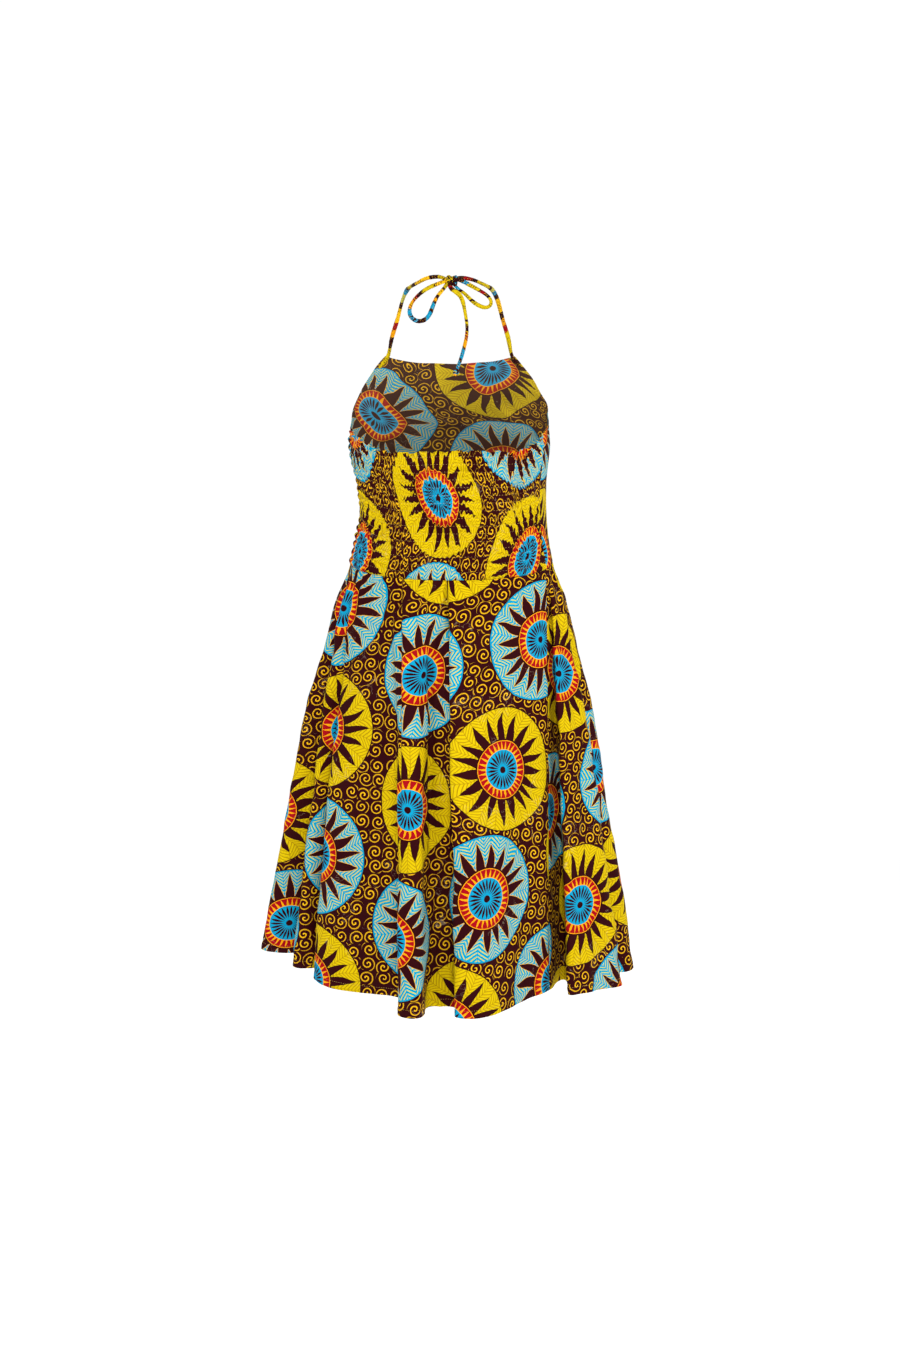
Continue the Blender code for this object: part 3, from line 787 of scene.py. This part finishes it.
def makeBodiceBack(outer, inner):
    # up: 0 at the waist seam, 1 at the top row of elastic, 2 along the frill's edge
    bands, dice = shirred["bands"], np.random.default_rng(11)
    up = np.concatenate((np.linspace(0, 1, bands * shirred["stepsPerBand"] + 1),
                         np.linspace(1, 2, shirred["frillSteps"] + 1)[1:]))[:, None]
    across = np.linspace(0, 1, shirred["columns"])[None, :]
    turn = mix(*bodice["seamTurns"], across)
    points = bodyPoint(turn, backHeight(turn, up))
    normals = gridNormals(points)
    width = lengthsAlong(points, 1)
    band = np.clip(np.floor(up * bands), 0, bands - 1).astype(int)
    phase, drift = dice.uniform(0, 1, bands)[band], dice.uniform(0, 6.3, bands)[band]
    count = shirred["puckers"] + dice.integers(-4, 5, bands)[band]
    between = np.sin(math.pi * np.clip(up, 0, 1) * bands) ** 2
    wave = count * across + phase + 0.5 * np.sin(across * 17 + drift)
    wave = wave + 0.28 * np.sin(across * 61 + 2 * drift)
    full = 0.62 + 0.38 * wander(across * 9, up * 7, 1.6, 5)
    pucker = between**0.6 * (0.16 + 0.84 * (0.5 + 0.5 * np.cos(fullTurn * wave)) ** 1.15) * full
    above = np.clip(up - 1, 0, 1)
    frillWave = shirred["frillWaves"] * across + 0.6 * np.sin(across * 23) + 0.35 * np.sin(across * 71)
    frill = np.sin(fullTurn * frillWave) * shirred["frillDepth"] * above**0.8
    sag = shirred["sag"] * wander(across * 3, up * 2, 1.1, 21)
    # sewn flat at the side seams
    loose = fade(toSides(width), shirred["seamReach"])
    lift = shirred["fullness"] * pucker * (up <= 1) + frill + sag * np.sin(math.pi * np.clip(up, 0, 1))
    lift = bodice["lift"] + lift * loose + seamRoll(width) + seamRoll(width[:, -1:] - width)
    lift = lift + seamRoll(lengthsAlong(points, 0))
    points = points + normals * lift[..., None]
    points[..., 2] += shirred["frillRise"] * np.sin(fullTurn * (frillWave * 0.37 + 0.2)) * above
    points[..., 0] += shirred["sideways"] * between * np.sin(fullTurn * wave) * (up <= 1) * loose
    # the print runs on over each pucker and is lost in the fold after it
    stair = np.floor(wave) + stepUp(wave % 1 - 0.5, 0.07)
    hidden = (shirred["gathered"] - 1) * width[:, -1:] / count
    lost = hidden * shirred["lostInFolds"] * np.where(up <= 1, stair - wave, 0)
    printPlace = np.stack((width * shirred["gathered"] + lost,
                           lengthsAlong(points, 0) * 0.96 + 0.0007 * np.sin(fullTurn * wave)), -1)
    piece = clothPiece("bodiceBack", points, printPlace, [outer, inner], "bodice_back")
    facing = gridNormals(points)
    rows = [(points[k * shirred["stepsPerBand"]], facing[k * shirred["stepsPerBand"]])
            for k in range(1, bands + 1)]
    elastic = stitchRow("elasticRows", rows, shirred["stitchPitch"])


frontPanel = {
    "columns": 200, "rowsBelow": 70, "rowsAbove": 49,
    "binding": 0.007, "bindingRise": 0.0005, "groove": 0.0005, "seamReach": 0.009, "softness": 0.0006,
    "cut": (0.445, 0.335), "cutArea": 0.122,
    # creases in mm: arc from the centre, length up from the waist, half length, half width, height; tilt
    "creases": [
        (-85, 50, 50, 6, 1.6, -52), (-60, 28, 42, 5.5, 1.2, -64), (92, 55, 52, 6.5, 1.7, 49),
        (55, 24, 40, 5.5, 1.3, 68), (-75, 235, 55, 7, 1.5, 27), (70, 240, 58, 7, 1.6, -24),
        (-120, 165, 36, 6, 1.8, 62), (125, 160, 38, 6, 1.9, -58), (4, 190, 46, 8, -1.2, 88),
        (10, 80, 60, 9, 1, 6),
    ],
}


def makeBodiceFront(outer, inner):
    below, above = frontPanel["rowsBelow"], frontPanel["rowsAbove"]
    across = closeSpaced(frontPanel["columns"])[None, :]
    climb = np.concatenate((np.linspace(0, 1, below), np.linspace(1, 2, above)[1:]))[:, None]
    points = frontPoint(across, climb)
    normals = gridNormals(points)
    width, tall = lengthsAlong(points, 1), lengthsAlong(points, 0)
    arc = width - width[:, -1:] / 2
    side, toTop, bind = toSides(width), tall[-1:] - tall, frontPanel["binding"]
    toBound = np.where(climb > 1, np.minimum(side, toTop), toTop)
    bound = frontPanel["bindingRise"] * stepUp(bind - toBound, 0.0004)
    bound = bound - frontPanel["groove"] * bell(toBound - bind, 0.0007)
    # sewn flat at the waist and, below the armholes, at the sides
    sewn = fade(1.04 - climb, 0.04)
    loose = fade(tall, frontPanel["seamReach"]) * mix(1, fade(side, frontPanel["seamReach"]), sewn)
    lift = creased(arc, tall, frontPanel["creases"]) + frontPanel["softness"] * wander(arc, tall, 0.055, 31)
    lift = bodice["lift"] + lift * loose + bound + seamRoll(side) * sewn + seamRoll(tall)
    points = points + normals * lift[..., None]
    printPlace = np.stack((arc, tall), -1)
    piece = clothPiece("bodiceFront", points, printPlace, [outer, inner], "bodice_front")
    # stitches along the binding: the neckline, then both armholes
    facing = gridNormals(points)
    top = np.argmin(np.abs(toTop[:, frontPanel["columns"] // 2] - bind))
    lines = [(points[top, 6:-6], facing[top, 6:-6])]
    for mirrored in (False, True):
        line, normal = [], []
        for row in range(below + 2, top):
            near = width[row, -1] - width[row] if mirrored else width[row]
            order = np.argsort(near)
            for found, values in ((line, points), (normal, facing)):
                found.append([np.interp(bind, near[order], values[row, order, k]) for k in range(3)])
        lines.append((np.array(line), np.array(normal)))
    seam = stitchRow("bindingStitches", lines)


skirt = {
    "hemHeight": -0.984, "foldSteps": 60,
    "hemDepth": 0.010, "hemThickness": 0.0005, "hemInset": 0.0009, "hemPrintShift": (0.31, 0.12),
    "hemRise": 0.0004, "hemGroove": 0.0005,
    # drop and how far the skirt has spread there
    "flare": [
        (0.000, 0.000), (0.012, 0.002), (0.045, 0.065), (0.094, 0.160), (0.205, 0.285), (0.317, 0.430),
        (0.430, 0.545), (0.544, 0.630), (0.696, 0.757), (0.851, 0.885), (1.000, 1.000)],
    # valley turn and reach, crest turn and reach, left and right flank, drop of the hem, turn at the waist
    "folds": [
        (-104, 0.222, -90, 0.274, 0.50, 1.20, -0.014, -81),
        (-83, 0.208, -73.5, 0.233, 0.80, 1.30, -0.008, -74),
        (-68, 0.184, -57.5, 0.223, 1.40, 0.00, -0.003, -61),
        (-22, 0.180, -13, 0.246, 1.60, 1.45, 0.009, -24),
        (-6, 0.190, -4, 0.192, 0.00, 0.00, 0.009, -9),
        (-2, 0.190, 7.5, 0.239, 1.80, 0.00, 0.010, 2),
        (36, 0.194, 39, 0.194, 0.00, 0.00, 0.006, 48),
        (61, 0.181, 49, 0.231, -2.00, 0.00, 0.005, 74),
        (58, 0.240, 69, 0.260, 0.00, 1.10, 0.012, 82),
        (77, 0.228, 90, 0.267, 0.60, 0.60, 0.014, 94),
        (101, 0.228, 113, 0.262, 0.60, 0.80, 0.006, 113),
        (124, 0.222, 137, 0.264, 0.80, 0.40, 0.002, 136),
        (150, 0.210, 163, 0.260, 0.50, 0.90, 0.000, 160),
        (174, 0.206, 187, 0.264, 0.90, 0.70, 0.000, 186),
        (199, 0.212, 212, 0.258, 0.70, 0.50, -0.002, 211),
        (224, 0.210, 238, 0.268, 0.80, 0.80, -0.008, 238)],
    "seamFolds": ((0, 0.050), (7, -0.045)),       # the valley near each side seam, and how far past it
    "gatherDepth": 0.0026, "gatherReach": 0.075, "gatherPitches": (0.0092, 0.0131, 0.0187),
    "softness": 0.0011, "fineSoftness": 0.0004, "flutter": 0.0009,
}
# fold edges: share across, top and bottom down the cloth, height, depth beside it, cloth hidden, and
# the side that lies on top
# creases in mm: arc from the panel's middle, length down, half length, half width, height; tilt
panels = {
    "skirtBack": {
        "columns": 276, "rows": 130, "node": "skirt_back", "upper": "bodiceBack", "seed": 3,
        "edges": [
            (0.602, 0.004, 0.34, 0.0048, 0.004, 0.014, 1), (0.781, 0.004, 0.45, 0.0056, 0.0075, 0.016, 1),
            (0.69, 0.09, 0.4, 0.003, 0.004, 0.006, -1), (0.135, 0.03, 0.32, 0.0042, 0.004, 0.01, 1),
        ],
        "creases": [
            (-150, 120, 85, 7.5, 2.6, 16), (-95, 70, 60, 6, 1.8, 24), (20, 85, 70, 7, 2.2, -9),
            (105, 110, 80, 8, 2.4, -19), (150, 200, 70, 8, 2, -13), (-205, 260, 80, 8, 2.2, 8),
            (-120, 330, 90, 9, 1.8, -6), (60, 300, 110, 9, 2.2, 5), (190, 380, 100, 10, 2.6, 4),
            (-30, 420, 90, 8.5, 1.8, -3), (130, 500, 60, 9, 2.4, 2), (-260, 480, 70, 9, 2.4, -4),
        ],
    },
    "skirtFront": {
        "columns": 350, "rows": 110, "node": "skirt_front", "upper": "bodiceFront", "seed": 6,
        "edges": [
            (0.33, 0.004, 0.3, 0.004, 0.0045, 0.012, -1), (0.655, 0.004, 0.28, 0.0042, 0.0045, 0.012, 1),
        ],
        "creases": [
            (-290, 130, 80, 8, 2.4, 18), (-180, 80, 60, 6.5, 1.8, 12), (-60, 110, 70, 7, 1.8, -7),
            (70, 90, 70, 7, 2, 10), (200, 130, 85, 8, 2.4, -15), (310, 220, 80, 8.5, 2.2, -9),
            (-360, 330, 90, 9, 2.4, 5), (-210, 380, 90, 9, 2, -4), (10, 350, 110, 9.5, 2, 3),
            (240, 420, 100, 9.5, 2.4, -3), (430, 480, 70, 10, 2.4, 3), (-460, 500, 60, 9, 2.4, -3),
        ],
    },
}


def hemLine():
    # the hem as seen from above, with where it starts each valley and each crest
    folds, steps = skirt["folds"], skirt["foldSteps"]
    q = np.arange(steps) / steps
    turns, reaches = [], []
    for number, fold in enumerate(folds):
        following = folds[(number + 1) % len(folds)]
        nextTurn = following[0] + (360 if number + 1 == len(folds) else 0)
        flanks = ((fold[0], fold[1], fold[4], False), (nextTurn, following[1], fold[5], True))
        for valleyTurn, valleyReach, flank, back in flanks:
            eased = q + flank * np.sin(fullTurn * q) / fullTurn
            turn = mix(valleyTurn, fold[2], eased)
            reach = mix(valleyReach, fold[3], (1 - np.cos(math.pi * q)) / 2)
            if back:
                turns.append(turn[1:][::-1])
                reaches.append(reach[1:][::-1])
            else:
                turns += [turn, [fold[2]]]
                reaches += [reach, [fold[3]]]
    turn, reach = np.radians(np.concatenate(turns)), np.concatenate(reaches)
    line = np.stack((-np.sin(turn) * reach, bodice["centreY"] + np.cos(turn) * reach), -1)
    line = np.vstack((line, line[:1]))
    places = lengthsAlong(line, 0)
    return line, places, places[:-1 : 2 * steps], places[steps :: 2 * steps]


hemPoints, hemPlaces, valleys, crests = hemLine()
hemLength = hemPlaces[-1]
leftPlace, rightPlace = (valleys[number] + offset for number, offset in skirt["seamFolds"])


def onceRound(places, values, step, at):
    order = np.argsort(places)
    places, values = np.array(places)[order], np.array(values, float)[order]
    places = np.concatenate((places - hemLength, places, places + hemLength))
    values = np.concatenate((values - step, values, values + step))
    return np.interp(at, places, values)


def skirtPoint(place, down):
    # place: metres along the hem, down: 0 at the waist and 1 at the hem
    folds = np.array(skirt["folds"])
    turn = onceRound([*crests, leftPlace, rightPlace], [*folds[:, 7], *bodice["seamTurns"]], 360, place)
    drop = onceRound(crests, folds[:, 6], 0, place)
    waist = bodyPoint(turn, waistHeight(turn))
    hem = np.stack([np.interp(place % hemLength, hemPlaces, hemPoints[:, k]) for k in range(2)], -1)
    share = smoothCurve(*zip(*skirt["flare"]), down)
    flat = waist[..., :2] + (hem - waist[..., :2]) * share[..., None]
    return np.concatenate((flat, mix(waist[..., 2], skirt["hemHeight"] - drop, down)[..., None]), -1)


def foldEdges(across, width, fall, edges):
    # one side of each edge lies a little over the other and hides some of the print
    lift, hidden = 0, 0
    for place, top, bottom, height, depth, lost, side in edges:
        away = (across - place) * width[:, -1:] * side
        start, stop = fade(fall - top, 0.03), fade(bottom - fall, 0.15)
        over = stepUp(away, 0.0008)
        raised = height * over * bell(away, 0.024) - depth * (1 - over) * bell(away, 0.008)
        lift = lift + raised * start * stop
        hidden = hidden + lost * stop * (over if side > 0 else 1 - over)
    return lift, hidden


def makeSkirtPanel(name, start, end, outer, inner):
    panel, hem = panels[name], skirt["hemDepth"]
    # columns and rows lie closer at the seams, the fold edges, the waist and the hem
    near = np.array((-0.010, -0.006, -0.0035, -0.0015, 0, 0.0015, 0.0035, 0.006, 0.010)) * 0.5
    across = [closeSpaced(panel["columns"], 0.006, 0.0011)] + [edge[0] + near for edge in panel["edges"]]
    across = np.sort(np.concatenate(across))[None, :]
    down = np.concatenate((np.linspace(0, 0.10, 26), np.linspace(0.10, 0.97, panel["rows"] - 38)[1:],
                           np.linspace(0.97, 1, 13)[1:]))[:, None]
    place = mix(start, end, across)
    points = skirtPoint(place, down)
    # one column more on either side, so both panels stand the same way at their seam
    wider = np.concatenate((place[:, :1] - 0.001, place, place[:, -1:] + 0.001), 1)
    normals = gridNormals(skirtPoint(wider, down))[:, 1:-1]
    width, drop = lengthsAlong(points, 1), lengthsAlong(points, 0)
    arc, side = width - width[:, -1:] / 2, toSides(width)
    fall = drop.mean(axis=1, keepdims=True)
    dice = np.random.default_rng(panel["seed"])
    waistArc, gathers = width[:1], 0
    for pitch in skirt["gatherPitches"]:
        phase, drift = dice.uniform(0, 6), dice.uniform(0, 6)
        swell = 1.4 * np.sin(waistArc * 47 + drift)
        gathers = gathers + np.sin(waistArc * fullTurn / pitch + phase + swell)
    gathers = gathers / 3 * skirt["gatherDepth"] * np.exp(-fall / skirt["gatherReach"])
    gathers = gathers * fade(fall, 0.004)
    soft = skirt["softness"] * wander(arc, fall * 0.45, 0.075, panel["seed"])
    soft = fade(fall, 0.08) * (soft + skirt["fineSoftness"] * wander(arc, fall, 0.028, panel["seed"] + 1))
    toHem = drop[-1:] - drop
    turned = skirt["hemRise"] * stepUp(hem - toHem, 0.0004) - skirt["hemGroove"] * bell(toHem - hem, 0.0008)
    nearHem = np.clip(1 - toHem / 0.06, 0, 1) ** 2
    flutter = skirt["flutter"] * wander(arc, 0, 0.035, panel["seed"] + 2) * nearHem
    folded = creased(arc, fall, panel["creases"]) * fade(fall, 0.006)
    lift = (gathers + soft + folded + flutter) * fade(side, 0.014)
    raised, hidden = foldEdges(across, width, fall, panel["edges"])
    lift = bodice["lift"] + lift + raised + turned + seamRoll(side) + seamRoll(fall)
    points = points + normals * lift[..., None]
    # flat cut: a piece of a ring, laid so that both the waist and the hem keep their lengths
    waistWidth, hemWidth, tall = float(width[0, -1]), float(width[-1, -1]), float(fall[-1, 0])
    radius = tall * waistWidth / (hemWidth - waistWidth)
    angle = (arc + hidden) / (radius + fall)
    printPlace = np.stack(((radius + fall) * np.sin(angle), -(radius + fall) * np.cos(angle)), -1)
    piece = clothPiece(name, points, printPlace, [outer, inner], panel["node"])
    # the turned-up hem inside, and its stitches outside
    facing = gridNormals(points)
    row = int(np.argmin(np.abs(toHem[:, panel["columns"] // 2] - hem)))
    inside = points[row - 1 :] - facing[row - 1 :] * skirt["hemInset"]
    fold = clothPiece(name + "Hem", inside, printPlace[row - 1 :] + skirt["hemPrintShift"],
                      [outer, inner], thickness=skirt["hemThickness"])
    seam = stitchRow(name + "HemStitches", [(points[row, 4:-4], facing[row, 4:-4])])
    half = hemWidth / (radius + tall) / 2
    wide, high = 2 * (radius + tall) * math.sin(half), radius + tall - radius * math.cos(half)
    area = half * ((radius + tall) ** 2 - radius**2)
    cuts = (wide, high, area, hemWidth, waistWidth)
    print(name, "cut %.3f x %.3f, area %.4f, hem %.3f, waist %.3f" % cuts)


# where each piece was cut from the print
cutFrom = {
    "bodice back": (0.035, 0.062), "bodice front": (0.150, 0.152),
    "skirt back": (0.045, 0.085), "skirt front": (0.012, 0.047),
}
outside = {name: clothMaterial("printed cotton, " + name, shift) for name, shift in cutFrom.items()}
reverse = {name: clothMaterial("reverse of the " + label, cutFrom[name], 0.14, 0.82)
           for name, label in (("bodice back",) * 2, ("bodice front",) * 2, ("skirt back", "skirt"))}
makeSkirtPanel("skirtBack", leftPlace, rightPlace, outside["skirt back"], reverse["skirt back"])
makeSkirtPanel("skirtFront", rightPlace, leftPlace + hemLength, outside["skirt front"],
               reverse["skirt back"])
print("skirt made")
makeBodiceFront(outside["bodice front"], reverse["bodice front"])
makeBodiceBack(outside["bodice back"], reverse["bodice back"])
print("bodice made")

studio = {
    "floorHeight": -1.465, "floorRadius": 40.0, "floorColour": (0.84, 0.84, 0.84), "fade": (0.7, 2.6),
    # the light is white near the horizon and dimmer overhead
    "world": (1.0, 1.0, 1.0), "horizonStrength": 1.03, "overheadStrength": 0.40, "overhead": (0.10, 0.42),
    "lightsAimAt": (0, -0.07, -0.55),
    # name, place, size, watts, colour
    "lights": [
        ("key", (-0.30, 3.1, 1.2), 0.8, 98, (1.0, 0.985, 0.96)),
        ("left fill", (2.8, 1.5, 0.3), 1.2, 48, (0.98, 0.99, 1.0)),
        ("right fill", (-2.8, 1.5, 0.3), 1.2, 60, (0.98, 0.99, 1.0)),
        ("rim", (0.8, -2.8, 1.2), 1.4, 110, (1.0, 1.0, 1.0)),
    ],
}


def makeFloor():
    mesh = bpy.data.meshes.new("floor")
    reach, height = studio["floorRadius"], studio["floorHeight"]
    turns = np.linspace(0, fullTurn, 96, endpoint=False)
    rim = [(reach * math.cos(turn), reach * math.sin(turn), height) for turn in turns]
    mesh.from_pydata(rim, [], [list(range(96))])
    finish = {"Roughness": 0.9, "Base Color": studio["floorColour"]}
    material, tree, shader = newMaterial("pale floor", finish)
    # it fades into the light far away
    place = put(tree, "SeparateXYZ", put(tree, "TexCoord", out=3)).parts()
    away = squareRoot(place[0] * place[0] + place[1] * place[1])
    share = put(tree, "MapRange", away, *studio["fade"], 0.0, 1.0, interpolation_type="SMOOTHSTEP")
    glow = put(tree, "Emission", studio["world"], studio["horizonStrength"])
    blend = put(tree, "MixShader", share, nodeValue(shader.outputs[0]), glow)
    feed(tree.nodes["Material Output"].inputs[0], blend)
    mesh.materials.append(material)
    addToScene("floor", mesh)


def makeLights():
    for name, place, size, power, colour in studio["lights"]:
        data = bpy.data.lights.new(name, "AREA")
        data.size, data.energy, data.color = size, power, colour
        lamp = addToScene(name, data)
        lamp.location = place
        way = Vector(studio["lightsAimAt"]) - Vector(place)
        lamp.rotation_euler = way.to_track_quat("-Z", "Y").to_euler()
    world = bpy.data.worlds.new("studio")
    bpy.context.scene.world = world
    world.use_nodes = True
    tree = world.node_tree
    background = tree.nodes["Background"]
    upwards = put(tree, "SeparateXYZ", put(tree, "TexCoord")).parts()[2]
    strengths = studio["horizonStrength"], studio["overheadStrength"]
    feed(background.inputs[0], studio["world"])
    feed(background.inputs[1], put(tree, "MapRange", upwards, *studio["overhead"], *strengths))
    bpy.context.scene.view_settings.view_transform = "Standard"


makeFloor()
makeLights()
print("studio made")
